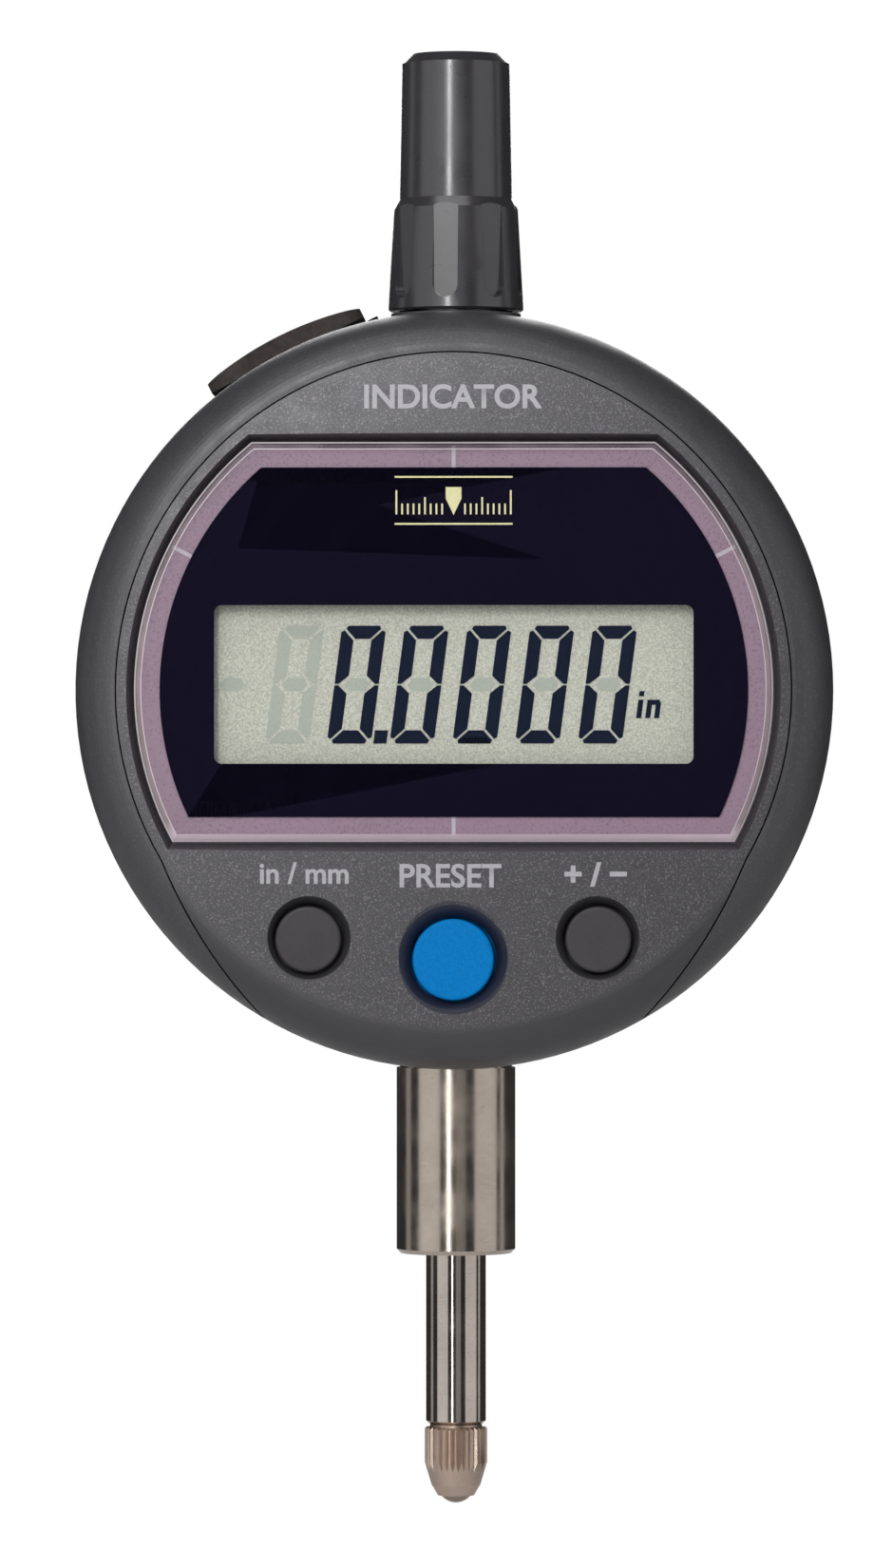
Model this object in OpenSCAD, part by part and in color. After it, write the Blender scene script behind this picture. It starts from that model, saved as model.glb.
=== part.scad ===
// Round digital indicator with a solar powered display, clamped by its stem.
// Millimetres. +Z is up and the face looks along -Y.
// The origin lies on the stem axis, halfway along the exposed stem.

/* [Case] */
// Outside diameter of the case
body_d = 60; // [59:0.5:63]
// Depth of the case behind the stem axis
case_back = 6.5; // [6.3:0.1:8]
// Thickness of the rear cover
rear_t = 2; // [1.8:0.1:3]

/* [Face] */
// Height of the panel's crown in front of the stem axis
crown_h = 14.6; // [14.2:0.1:15.4]
// Radius of the panel's dome
crown_radius = 300; // [260:10:400]
// Width of the domed ring round the panel
ring_w = 3.35; // [3:0.05:3.6]

/* [Window] */
// Distance from the centre to the window's top flat
window_top = 19.5; // [19:0.1:19.8]
// Distance from the centre to the window's bottom flat
window_bottom = 11.95; // [11.5:0.05:12.2]
// Width of the display opening
display_w = 37.8; // [34:0.2:38.4]
// Height of the digits
digit_h = 9.3; // [8:0.1:9.8]
// Number of digits
digits = 5; // [4:1:5]

/* [Buttons] */
// Diameter of the two side buttons
button_d = 5.2; // [4.6:0.1:5.4]
// Diameter of the middle button
preset_d = 6.4; // [5.6:0.1:6.6]
// Travel of each button
button_travel = 0.5; // [0.3:0.05:0.5]

/* [Stem and spindle] */
// Stem diameter
stem_d = 9.525; // [9.4:0.005:9.6]
// Spindle diameter
spindle_d = 4.8; // [4.2:0.1:4.9]
// Travel of the spindle
travel = 12.7; // [10:0.1:12.7]
// Diameter of the contact's knurled collar
knurl_d = 5; // [4.8:0.1:5.4]

/* [Cap] */
// Height of the cap
cap_h = 20.6; // [20:0.1:21.5]
// Diameter of the cap's skirt at its foot
cap_d = 10.84; // [10.8:0.02:11.4]
// Number of flutes in the skirt
flutes = 8; // [6:1:10]

/* [Lug] */
// Thickness of the lug on the rear cover
lug_t = 6.35; // [6:0.05:6.5]
// Diameter of the lug's hole
lug_hole_d = 6.5; // [6:0.1:7]

/* [Hidden] */
$fn = 96;
body_r = body_d / 2;
body_z = 37.5;
stem_end = 45;
stem_r = stem_d / 2;
spindle_r = spindle_d / 2;
slip = 0.02;
bite = 0.01;
joint_gap = 0.05;
through = 1;

ring_in_r = body_r - ring_w;
panel_r = ring_in_r - 0.12;
seam = 0.12;
shoulder_h = 9;
seat_h = 9.8;
shelf_t = 1.2;
shelf_r = ring_in_r - 1.3;
cavity_r = body_r - 2;
floor_t = 1.5;
floor_h = -case_back + floor_t;
rear_h = -case_back - rear_t;
crown_steps = 12;
dome_steps = 16;

chin_start = 13.35;
chin_end_angle = 60.8;
chin_arc_r = 42;

lens_r = body_r - 4.85;
lens_h = [11.7, 13.3];
bevel_w = 0.9;
bevel_rise = 0.7;
mask_t = 0.15;
mask_margin = 1.95;
cell_t = 0.5;
cell_w = 3;
cell_margin = 0.15;
cell_gap = 0.3;
cell_angles = [27, 90, 153, 270];
pocket_h = lens_h[0] - mask_t - cell_t;
pocket_gap = 0.12;
pocket_flare = 0.88;

display_h = 12.5;
display_z = 0.45;
display_corner_r = 0.6;
glass_w = display_w + 3.2;
glass_h = display_h + 3.5;
glass_back = 10.4;
print_t = 0.05;
reflector_t = 0.2;
digit_w = digit_h * 0.376;
digit_pitch = digit_h * 0.533;
stroke = digit_h * 0.112;
slant = 7.5;
first_digit_x = -10.05;
unit_rise = 2;

board_r = body_r - 7;
board_h = [7.6, 8.6];
key_sheet_t = 0.4;
key_tip_h = 9.85;

side_button = [11.4, -19.6];
preset_button_at = [0, -21.2];
button_r = button_d / 2;
preset_r = preset_d / 2;
button_gap = 0.23;
flange_w = 0.45;
flange_gap = 0.25;
flange_h = [10.85, 11.55];
flange_stop_h = 11.6;
foot_h = key_tip_h + button_travel + joint_gap;
well_w = [0.46, 0.88];
well_depth = 0.8;

screw_r = 0.8;
screw_head_r = 1.5;
rear_screw_at = 18;
rear_boss_r = 2.8;
rear_boss_h = 4;
cover_boss_r = 2.3;
cover_screw_reach = 2.2;
cover_screws = [[8, 22.6], [-8, 22.6], [17.6, -17.6], [-17.6, -17.6]];
board_screws_at = [[17, 13], [-17, 13], [17, -12.5], [-17, -12.5]];

shank_r = 4.5;
boss_r = 6.2;
boss_z = [-body_r + 0.6, -20];
stem_shoulder = -body_r - 0.1;
guide_tube_r = 3.6;
guide_tube_z = -7.5;
stem_bore_r = 2.8;
bushing_r = 3.3;
bushing_z = [-stem_end + 1.2, -stem_end + 9];
top_boss_r = 5.2;
top_boss_z = [25, body_r + 0.3];
bushing_h = 3;
neck_h = 5.4;
neck_r = 3.6;
neck_bore_r = 2.65;
neck_shank_r = 3.2;
spindle_top = 35;
contact_z = -58.75;
tip_z = -65.05;
ball_r = 1.5;

hub_z = [-5, 3];
hub_r = 4.2;
plate_h = [4.4, 5.9];
plate_z = [-12, 8];
plate_w = 12;
scale_t = 0.7;
head_gap = 0.3;
arm_x = 11.5;
arm_t = 2.4;
pin_r = 0.9;
pin_z = -1;
pin_root = arm_x - 3;
carrier_screw_z = 1;
rail_x = [-18, -14.5];
rail_z = [-11, pin_z + travel + pin_r + 1.9];
rail_h = 2.4;
rail_foot_w = 3.4;
rail_foot_t = 1.5;
spring_x = 10;
spring_foot_z = -20;
spring_r = 1.55;
wire_r = 0.22;
coils = 14;
post_r = 0.8;

cap_foot = body_r + 0.5;
cap_top = cap_foot + cap_h;
skirt_top = cap_foot + cap_h * 0.422;
cap_r = cap_d / 2;
skirt_top_r = cap_r - 0.45;
crown_r = [cap_r - 0.9, cap_r - 1.09];
flute_r = 1;
flute_depth = 0.4;
flute_turn = 8.7;

port_angle = 116.5;
port_u = body_r;
port_w = 13.6;
port_depth = 8;
port_crown = 1.65;
port_arc_r = 27.5;
socket_w = 9;
socket_h = 3.6;
plug_gap = 0.1;
contacts = 5;
contact_pitch = 1.5;
contact_u = 20;
nub_at = port_w / 2 + 0.55;
nub_r = 0.45;
nub_foot = body_r - 2.3;

lug_r = 7.5;
lug_h = -case_back - 9.5;
seal_r = 21.5;
seal_groove_w = 1.2;
seal_groove_depth = 0.9;

// ---- Placing ----

// Round the case's centre, Z up.
module at_centre() {
    translate([0, 0, body_z]) children();
}

// Drawn as seen from the front: X right, Y up, Z toward the viewer.
module facing() {
    at_centre() rotate([90, 0, 0]) children();
}

module layer(low, high) {
    translate([0, 0, low]) linear_extrude(high - low) children();
}

module mirrored() {
    children();
    mirror([1, 0, 0]) children();
}

// Points along the port: its own Z runs outward from the case's centre.
module at_port() {
    at_centre() rotate([0, 90 - port_angle, 0]) children();
}

module ring(outer, inner, low, high) {
    rotate_extrude() translate([inner, low]) square([outer - inner, high - low]);
}

module block(size, centre) {
    translate(centre - size / 2) cube(size);
}

module screws(places, head_h, tip_h, head_r, thread_r) {
    way = tip_h > head_h ? 1 : -1;
    for (at = places)
        translate([at[0], at[1], head_h]) rotate([way > 0 ? 0 : 180, 0, 0])
            screw_shape(abs(tip_h - head_h), head_r, thread_r);
}

module screw_shape(reach, head_r, thread_r) {
    head_t = head_r * 0.6;
    slot_w = head_r * 0.3;
    cylinder(h = reach, r = thread_r);
    difference() {
        translate([0, 0, -head_t]) cylinder(h = head_t, r = head_r);
        for (turn = [0, 90])
            rotate(turn) block([head_r * 1.3, slot_w, head_t], [0, 0, -head_t]);
    }
}

// ---- Face forms ----

function crown_at(r) = crown_h - crown_radius + sqrt(pow(crown_radius, 2) - pow(r, 2));

// The whole front, panel and ring, as one turned shape.
module front_form(base) {
    rise = crown_at(ring_in_r) - shoulder_h;
    crown = [for (i = [0 : crown_steps]) let (r = ring_in_r * i / crown_steps) [r, crown_at(r)]];
    dome = [for (i = [1 : dome_steps]) let (a = 90 * i / dome_steps)
        [ring_in_r + ring_w * sin(a), shoulder_h + rise * cos(a)]];
    rotate_extrude() polygon(concat([[0, base]], crown, dome, [[body_r, base]]));
}

// The panel's circle with the chin that runs down to the case's edge.
module face_outline(grow = 0) {
    start = [-sqrt(pow(panel_r, 2) - pow(chin_start, 2)), -chin_start];
    end = body_r * [-cos(chin_end_angle), -sin(chin_end_angle)];
    chord = end - start;
    half = norm(chord) / 2;
    inward = [-chord[1], chord[0]] / norm(chord);
    centre = (start + end) / 2 + inward * sqrt(pow(chin_arc_r, 2) - pow(half, 2));
    circle(panel_r + grow);
    intersection() {
        translate(centre) circle(chin_arc_r + grow);
        translate([-centre[0], centre[1]]) circle(chin_arc_r + grow);
        translate([-body_r, -2 * body_r - chin_start]) square(2 * body_r);
    }
}

// A disc cut by two flats. Each end is given as [radius, top, bottom].
module flatted(low_h, high_h, low, high) {
    intersection() {
        translate([0, 0, low_h]) cylinder(h = high_h - low_h, r1 = low[0], r2 = high[0]);
        rotate([90, 0, 90]) layer(-body_r, body_r)
            polygon([[-low[2], low_h], [low[1], low_h], [high[1], high_h], [-high[2], high_h]]);
    }
}

function inset(by) = [lens_r - by, window_top - by, window_bottom - by];

module rounded_plate(w, h, r) {
    square([w - 2 * r, h], center = true);
    square([w, h - 2 * r], center = true);
    for (x = [-1, 1], y = [-1, 1])
        translate([x * (w / 2 - r), y * (h / 2 - r)]) circle(r);
}

// ---- Case ----

module case_body() {
    color("#4b494c") {
        difference() {
            union() {
                facing() case_shell();
                case_bosses();
            }
            case_bores();
        }
    }
}

module case_shell() {
    difference() {
        front_form(-case_back);
        layer(seat_h, crown_h + through) face_outline(seam);
        translate([0, 0, floor_h]) cylinder(h = seat_h - shelf_t - floor_h, r = cavity_r);
        translate([0, 0, floor_h]) cylinder(h = seat_h + through - floor_h, r = shelf_r);
    }
    for (at = cover_screws)
        translate([at[0], at[1], seat_h - shelf_t]) cylinder(h = shelf_t, r = cover_boss_r);
    for (at = rear_screws())
        translate([at[0], at[1], floor_h - bite]) cylinder(h = rear_boss_h, r = rear_boss_r);
}

module case_bosses() {
    at_centre() {
        translate([0, 0, boss_z[0]]) cylinder(h = boss_z[1] - boss_z[0], r = boss_r);
        translate([0, 0, top_boss_z[0]]) cylinder(h = top_boss_z[1] - top_boss_z[0], r = top_boss_r);
    }
}

module case_bores() {
    at_centre() {
        translate([0, 0, -body_r - through]) cylinder(h = boss_r + body_r, r = shank_r + slip);
        translate([0, 0, top_boss_z[0] - through])
            cylinder(h = top_boss_z[1] - top_boss_z[0] + 2 * through, r = neck_shank_r + slip);
    }
    at_port() {
        block([socket_w, socket_h, 6], [0, 0, body_r - 1]);
        translate([nub_at, 0, nub_foot]) cylinder(h = 4, r = nub_r + slip);
    }
    facing() {
        screw_holes(cover_screws, seat_h - shelf_t - through, seat_h + through);
        screw_holes(rear_screws(), -case_back - through, floor_h + rear_boss_h - 1);
    }
}

module screw_holes(places, low, high) {
    for (at = places)
        translate([at[0], at[1], low]) cylinder(h = high - low, r = screw_r + slip);
}

function rear_screws() = [for (x = [-1, 1], y = [-1, 1]) [x, y] * rear_screw_at];

// ---- Face cover and window ----

module face_cover() {
    color("#5a595c") facing() difference() {
        intersection() {
            front_form(seat_h);
            layer(seat_h, crown_h + through) face_outline();
        }
        flatted(pocket_h, crown_h + through, inset(-pocket_gap), inset(-pocket_gap - pocket_flare));
        translate([0, display_z]) layer(seat_h - through, crown_h)
            square([glass_w, glass_h] + 2 * joint_gap * [1, 1], center = true);
        mirrored() button_hole(side_button, button_r, well_w[0]);
        button_hole(preset_button_at, preset_r, well_w[1]);
        screw_holes(cover_screws, seat_h - through, seat_h + cover_screw_reach + 0.2);
        screw_holes(board_screws_at, seat_h - through, pocket_h - 0.3);
    }
}

// A button's bore, with room for its flange behind and a sloping well of the given width round it.
module button_hole(at, r, well) {
    face_h = crown_at(norm(at));
    translate([at[0], at[1], seat_h - through]) {
        cylinder(h = crown_h, r = r + button_gap);
        cylinder(h = flange_stop_h - seat_h + through, r = r + button_gap + flange_w + flange_gap);
    }
    translate([at[0], at[1], face_h - well_depth])
        cylinder(h = 2 * well_depth, r1 = r + button_gap, r2 = r + button_gap + 2 * well);
}

module window_lens() {
    color("#c8d8d4", 0.4) facing() {
        flatted(lens_h[0], lens_h[1] - bevel_rise, inset(0), inset(0));
        flatted(lens_h[1] - bevel_rise, lens_h[1], inset(0), inset(bevel_w));
    }
}

module display_mask() {
    color("#12101f") facing() difference() {
        flatted(lens_h[0] - mask_t, lens_h[0], inset(mask_margin), inset(mask_margin));
        translate([0, display_z]) layer(0, crown_h) rounded_plate(display_w, display_h, display_corner_r);
    }
}

// One of the four solar cells between two of the gap angles.
module solar_cell(from, to) {
    outer = inset(cell_margin);
    inner = inset(cell_margin + cell_w);
    middle = (from + to) / 2;
    reach = 3 * body_r;
    color("#98808f") facing() layer(pocket_h, pocket_h + cell_t) difference() {
        intersection() {
            flatted_disc(outer);
            polygon([[0, 0], for (a = [from, middle, to]) reach * [cos(a), sin(a)]]);
        }
        flatted_disc(inner);
        for (a = cell_angles)
            rotate(a) translate([0, -cell_gap / 2]) square([body_r, cell_gap]);
    }
}

// A flat disc cut by two flats, given as [radius, top, bottom].
module flatted_disc(size) {
    intersection() {
        circle(size[0]);
        translate([-body_r, -size[2]]) square([2 * body_r, size[1] + size[2]]);
    }
}

// ---- Display ----

module lcd_glass() {
    color("#b8c0b4", 0.5) facing() translate([0, display_z])
        layer(glass_back, pocket_h + cell_t) square([glass_w, glass_h], center = true);
}

module lcd_reflector() {
    back = glass_back - print_t - reflector_t;
    color("#96968a") facing() translate([0, display_z])
        layer(back, back + reflector_t) square([glass_w, glass_h - 3], center = true);
}

module lcd_segments() {
    color("#0e1a2a") facing() layer(glass_back - print_t, glass_back) {
        for (i = [0 : digits - 1])
            translate([first_digit_x + i * digit_pitch, display_z - digit_h / 2]) digit_zero();
        translate([first_digit_x + digit_pitch - stroke * 1.23, display_z - digit_h / 2])
            lean_bar(0, 0, stroke, stroke);
        translate([first_digit_x + digits * digit_pitch - 0.35, display_z - digit_h / 2 + unit_rise])
            unit_letters();
    }
}

// The six lit strokes of a zero, leaning to the right, with cut outer corners and thin mitre gaps.
module digit_zero() {
    w = digit_w;
    s = stroke;
    g = 0.12;
    cut = s * 0.48;
    waist = digit_h / 2 - g / 2;
    flat_bar = [
        [cut, 0], [w - cut, 0], [w - cut / 2 - g, cut / 2],
        [w - s - g, s], [s + g, s], [cut / 2 + g, cut / 2]
    ];
    upright = [
        [0, cut], [cut / 2, cut / 2 + g], [s, s + g],
        [s, waist - s * 0.62], [s * 0.3, waist], [0, waist]
    ];
    for (up = [0, 1])
        bar(flat_bar, up);
    for (up = [0, 1], side = [0, 1])
        bar([for (p = upright) side == 0 ? p : [w - p[0], p[1]]], up);
}

// A stroke in the lower half of a digit, or turned over into the upper half.
module bar(points, up) {
    polygon([for (p = points) let (y = up == 0 ? p[1] : digit_h - p[1]) [p[0] + y * tan(slant), y]]);
}

// The unit, in two leaning letters.
module unit_letters() {
    t = 0.4;
    h = 1.45;
    dot_gap = 0.28;
    n_legs = [0.72, 1.42];
    lean_bar(0, 0, h, t);
    lean_bar(0, h + dot_gap, h + dot_gap + t, t);
    lean_bar(n_legs[0], 0, h, t);
    lean_bar(n_legs[1], 0, h - t / 2, t);
    lean_bar(n_legs[0], h - t, h, n_legs[1] - n_legs[0] + t * 0.75);
}

// An upright bar between two heights, leaning as the digits do.
module lean_bar(x, low, high, w) {
    polygon([for (p = [[0, low], [w, low], [w, high], [0, high]]) [x + p[0] + p[1] * tan(slant), p[1]]]);
}

// The elastic strips that join the glass to the circuit board.
module zebra_strips() {
    strip_w = 0.8;
    strip_edge = 0.7;
    color("#c0788c") facing() for (side = [-1, 1])
        translate([0, display_z + side * (glass_h / 2 - strip_edge)]) layer(board_h[1], glass_back)
            square([glass_w - 2, strip_w], center = true);
}

// ---- Electronics ----

module circuit_board() {
    top_flat = 4;
    color("#1f5f3c") facing() layer(board_h[0], board_h[1]) difference() {
        intersection() {
            circle(board_r);
            translate([-board_r, -board_r]) square([2 * board_r, 2 * board_r - top_flat]);
        }
        for (at = board_screws_at)
            translate(at) circle(screw_r + slip);
    }
}

module controller_chip() {
    size = 6.5;
    package_t = 1.2;
    lead_t = 0.2;
    lead_w = 0.3;
    lead_pitch = 0.8;
    span = size + 1.6;
    at = [11, -15, board_h[0]];
    color("#202022") facing() translate(at) {
        layer(-package_t, -lead_t) square(size, center = true);
        for (turn = [0, 90], i = [-3 : 3])
            rotate(turn) translate([i * lead_pitch, 0]) layer(-2 * lead_t, 0)
                square([lead_w, span], center = true);
    }
}

module storage_capacitor() {
    r = 2.6;
    h = 3.8;
    crimp = 0.2;
    at = [-11, -15.4, board_h[0]];
    color("#2c3850") facing() translate(at) rotate([180, 0, 0]) rotate_extrude() polygon([
        [0, 0], [r, 0], [r, 0.6], [r - crimp, 0.9], [r, 1.2], [r, h - 2 * crimp], [r - 2 * crimp, h], [0, h]
    ]);
}

module encoder_read_head() {
    low = plate_h[1] + scale_t + head_gap;
    size = [11, 14];
    pad_t = 0.3;
    color("#2a2c34") facing() translate([0, 2]) {
        layer(low, board_h[0]) square(size, center = true);
        for (i = [-4 : 4])
            translate([i, 0]) layer(board_h[0] - pad_t, board_h[0])
                square([pad_t, size[1] + 1.6], center = true);
    }
}

module board_screws() {
    color("#b0b0b0") facing() screws(board_screws_at, board_h[0], pocket_h - 0.6, screw_head_r, screw_r);
}

module face_cover_screws() {
    color("#a8a8a8") facing()
        screws(cover_screws, seat_h - shelf_t, seat_h + cover_screw_reach, screw_head_r, screw_r);
}

module key_mat() {
    sheet = [29, 8];
    dome_h = 0.9;
    dome_r = [2.2, 1.6];
    tip_r = 1.2;
    color("#3a3a3e") facing() {
        layer(board_h[1], board_h[1] + key_sheet_t) intersection() {
            circle(shelf_r - 0.4);
            translate(preset_button_at) square(sheet, center = true);
        }
        for (at = [side_button, preset_button_at, [-side_button[0], side_button[1]]])
            translate([at[0], at[1], board_h[1]]) {
                cylinder(h = dome_h, r1 = dome_r[0], r2 = dome_r[1]);
                cylinder(h = key_tip_h - board_h[1], r = tip_r);
            }
    }
}

// ---- Buttons ----

// A button with its retaining flange and the foot that presses the key.
module button(at, r) {
    top = crown_at(norm(at)) - 0.1;
    crown = 0.25;
    crown_parts = 8;
    foot_r = 1.1;
    flange_r = r + button_gap + flange_w;
    facing() translate([at[0], at[1], 0]) rotate_extrude()
        polygon(concat(
            [[0, foot_h], [foot_r, foot_h], [foot_r, flange_h[0]]],
            [[flange_r, flange_h[0]], [flange_r, flange_h[1]], [r, flange_h[1]]],
            [for (i = [0 : crown_parts]) let (a = 90 * i / crown_parts)
                [r - crown * (1 - cos(a)), top - crown + crown * sin(a)]],
            [[0, top]]
        ));
}

module unit_button() {
    color("#4a494c") button([-side_button[0], side_button[1]], button_r);
}

module preset_button() {
    color("#0272b2") button(preset_button_at, preset_r);
}

module sign_button() {
    color("#4a494c") button(side_button, button_r);
}

// ---- Stem and spindle ----

module stem() {
    chamfer = 0.35;
    color("#a8a29a") at_centre() rotate_extrude() polygon([
        [stem_bore_r, bushing_z[1]], [bushing_r, bushing_z[1]], [bushing_r, -stem_end],
        [stem_r - chamfer, -stem_end], [stem_r, -stem_end + chamfer], [stem_r, stem_shoulder],
        [shank_r, stem_shoulder], [shank_r, boss_z[1]], [guide_tube_r, boss_z[1]],
        [guide_tube_r, guide_tube_z], [stem_bore_r, guide_tube_z]
    ]);
}

module lower_bushing() {
    color("#b89858") at_centre()
        ring(bushing_r - slip, spindle_r + slip, bushing_z[0], bushing_z[1]);
}

module stem_seal() {
    color("#1c1c1c") at_centre()
        ring(bushing_r - slip, spindle_r + joint_gap, -stem_end + 0.2, bushing_z[0]);
}

module upper_bushing() {
    color("#b89858") at_centre()
        ring(neck_shank_r, spindle_r + slip, top_boss_z[0], top_boss_z[0] + bushing_h);
}

module spindle() {
    chamfer = 0.3;
    color("#b4aea6") at_centre() rotate_extrude() polygon([
        [0, contact_z], [spindle_r - chamfer, contact_z], [spindle_r, contact_z + chamfer],
        [spindle_r, spindle_top - chamfer], [spindle_r - chamfer, spindle_top], [0, spindle_top]
    ]);
}

// The contact: its collar's V grooves run out into points where the body starts to narrow.
module contact_point() {
    r = knurl_d / 2;
    groove = 0.2;
    crest = 0.07;
    grooves = 32;
    neck_h = 0.15;
    edge = 0.2;
    narrow_z = [-3.05, -4.85, -5.7];
    narrow_r = [r, r - 0.54, r - 1.04];
    color("#96826f") at_centre() difference() {
        translate([0, 0, contact_z]) intersection() {
            rotate_extrude() polygon(concat(
                [[0, 0], [r - 2 * edge, 0], [r - 2 * edge, -neck_h], [r - edge, -neck_h], [r, -neck_h - edge]],
                [for (i = [0 : 2]) [narrow_r[i], narrow_z[i]]],
                [[0, narrow_z[2]]]
            ));
            translate([0, 0, narrow_z[2] - through]) linear_extrude(2 * through - narrow_z[2])
                polygon([for (i = [0 : 2 * grooves - 1]) let (a = 180 * i / grooves)
                    (i % 2 == 0 ? r + crest : r - groove) * [cos(a), sin(a)]]);
        }
        translate([0, 0, tip_z + ball_r]) sphere(r = ball_r);
    }
}

module contact_ball() {
    color("#8a8278") at_centre() translate([0, 0, tip_z + ball_r]) sphere(r = ball_r);
}

// ---- Parts that ride on the spindle ----

module scale_carrier() {
    arm_h = [-2.2, 2.2];
    color("#8c8c90") facing() difference() {
        union() {
            rotate([-90, 0, 0]) translate([0, 0, hub_z[0]]) cylinder(h = hub_z[1] - hub_z[0], r = hub_r);
            layer(plate_h[0], plate_h[1]) translate([-plate_w / 2, plate_z[0]])
                square([plate_w, plate_z[1] - plate_z[0]]);
            layer(1, plate_h[0] + bite) translate([-plate_w / 4, hub_z[0]])
                square([plate_w / 2, hub_z[1] - hub_z[0]]);
            block([2 * arm_x, arm_t, arm_h[1] - arm_h[0]], [0, pin_z, 0]);
        }
        rotate([-90, 0, 0]) translate([0, 0, hub_z[0] - through])
            cylinder(h = hub_z[1] - hub_z[0] + 2 * through, r = spindle_r + slip);
        block([4, arm_t + through, 3.2], [spring_x + 0.2, pin_z, 1.2]);
        rotate([0, -90, 0]) translate([0, pin_z, pin_root]) cylinder(h = arm_x, r = pin_r);
        translate([spring_x, pin_z, arm_h[0] - through]) cylinder(h = 6, r = post_r);
        translate([0, carrier_screw_z, -hub_r - through]) cylinder(h = hub_r, r = screw_r);
    }
}

module carrier_screw() {
    color("#9a9a9a") facing() screws([[0, carrier_screw_z]], -hub_r, -spindle_r, 1.3, screw_r);
}

module encoder_scale() {
    ticks = 18;
    tick_w = 0.35;
    tick_depth = 0.1;
    margin = [1, 0.3];
    pitch = (plate_z[1] - plate_z[0] - 2 * margin[1] - 0.4) / ticks;
    size = [plate_w, plate_z[1] - plate_z[0]] - 2 * margin;
    top = plate_h[1] + scale_t;
    color("#6a8a96") facing() difference() {
        layer(plate_h[1], top) translate([-size[0] / 2, plate_z[0] + margin[1]]) square(size);
        for (i = [0 : ticks])
            translate([1 - size[0] / 2, plate_z[0] + margin[1] + 0.15 + i * pitch, top - tick_depth])
                cube([size[0] - 2, tick_w, through]);
    }
}

module guide_pin() {
    pin_end = -rail_x[0] - 1.5;
    color("#b8b4ae") facing() rotate([0, -90, 0]) translate([0, pin_z, pin_root])
        cylinder(h = pin_end - pin_root, r = pin_r);
}

module guide_rail() {
    slot_depth = 2.2;
    length = rail_z[1] - rail_z[0];
    color("#77777c") facing() difference() {
        union() {
            layer(floor_h, rail_h) translate([rail_x[0], rail_z[0]])
                square([rail_x[1] - rail_x[0], length]);
            layer(floor_h, floor_h + rail_foot_t) translate([rail_x[0] - rail_foot_w, rail_z[0]])
                square([rail_foot_w + bite, length]);
        }
        layer(-pin_r - joint_gap, pin_r + joint_gap)
            translate([rail_x[1] - slot_depth, rail_z[0] - through])
                square([slot_depth + through, length + 2 * through]);
        screw_holes(rail_screw_places(), floor_h - through, floor_h + rail_foot_t + through);
    }
}

function rail_screw_places() = [for (z = [rail_z[0] + 6, rail_z[1] - 4.5]) [rail_x[0] - rail_foot_w / 2, z]];

module rail_screws() {
    color("#a8a8a8") facing()
        screws(rail_screw_places(), floor_h + rail_foot_t, floor_h, screw_head_r, screw_r);
}

module spring_post_fixed() {
    color("#9a9a9a") facing() translate([spring_x, spring_foot_z, floor_h]) {
        cylinder(h = 2.4, r = 1.6);
        cylinder(h = 1.4 - floor_h, r = post_r);
    }
}

module spring_post_moving() {
    color("#9a9a9a") facing() translate([spring_x, pin_z, -2.2]) cylinder(h = 3.6, r = post_r);
}

// The extension spring: closed rings, each joined to the next by a short bridge.
module return_spring() {
    eye_r = post_r + wire_r + 0.2;
    low = spring_foot_z + eye_r + wire_r;
    high = pin_z - eye_r - wire_r - joint_gap;
    pitch = (high - low) / coils;
    color("#b0aca4") facing() translate([spring_x, 0, 0]) {
        for (z = [spring_foot_z, pin_z])
            translate([0, z, 0]) wire_ring(eye_r);
        for (i = [0 : coils])
            translate([0, low + i * pitch, 0]) rotate([90, 0, 0]) wire_ring(spring_r);
        for (i = [0 : coils - 1])
            rotate([-90, 0, 0]) translate([(i % 2 == 0 ? 1 : -1) * spring_r, 0, low + i * pitch])
                cylinder(h = pitch, r = wire_r * 0.8);
        for (z = [low, high])
            rotate([0, 90, 0]) translate([0, z, -spring_r]) cylinder(h = 2 * spring_r, r = wire_r * 1.1);
    }
}

module wire_ring(r) {
    rotate_extrude() translate([r, 0]) circle(r = wire_r, $fn = 24);
}

module stop_bumper() {
    color("#242424") at_centre() ring(hub_r - 0.4, spindle_r + 0.3, guide_tube_z, hub_z[0] - joint_gap);
}

// ---- Cap ----

module cap_neck() {
    bead = 0.15;
    beads = 6;
    color("#8e8e90") at_centre() difference() {
        union() {
            translate([0, 0, top_boss_z[0] + bushing_h]) cylinder(h = 6, r = neck_shank_r);
            translate([0, 0, top_boss_z[1]]) cylinder(h = neck_h, r = neck_r - bead);
            for (i = [0 : beads - 1])
                translate([0, 0, top_boss_z[1] + 1.2 + i * 0.7]) rotate_extrude() polygon([
                    [0, 0], [neck_r - bead, 0], [neck_r, 0.2], [neck_r, 0.3], [neck_r - bead, 0.5], [0, 0.5]
                ]);
        }
        translate([0, 0, top_boss_z[0]]) cylinder(h = body_r, r = neck_bore_r);
    }
}

module cap_o_ring() {
    color("#161616") at_centre() translate([0, 0, cap_foot + 0.45]) rotate_extrude()
        translate([neck_r + 0.5, 0]) circle(r = 0.42, $fn = 32);
}

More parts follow.
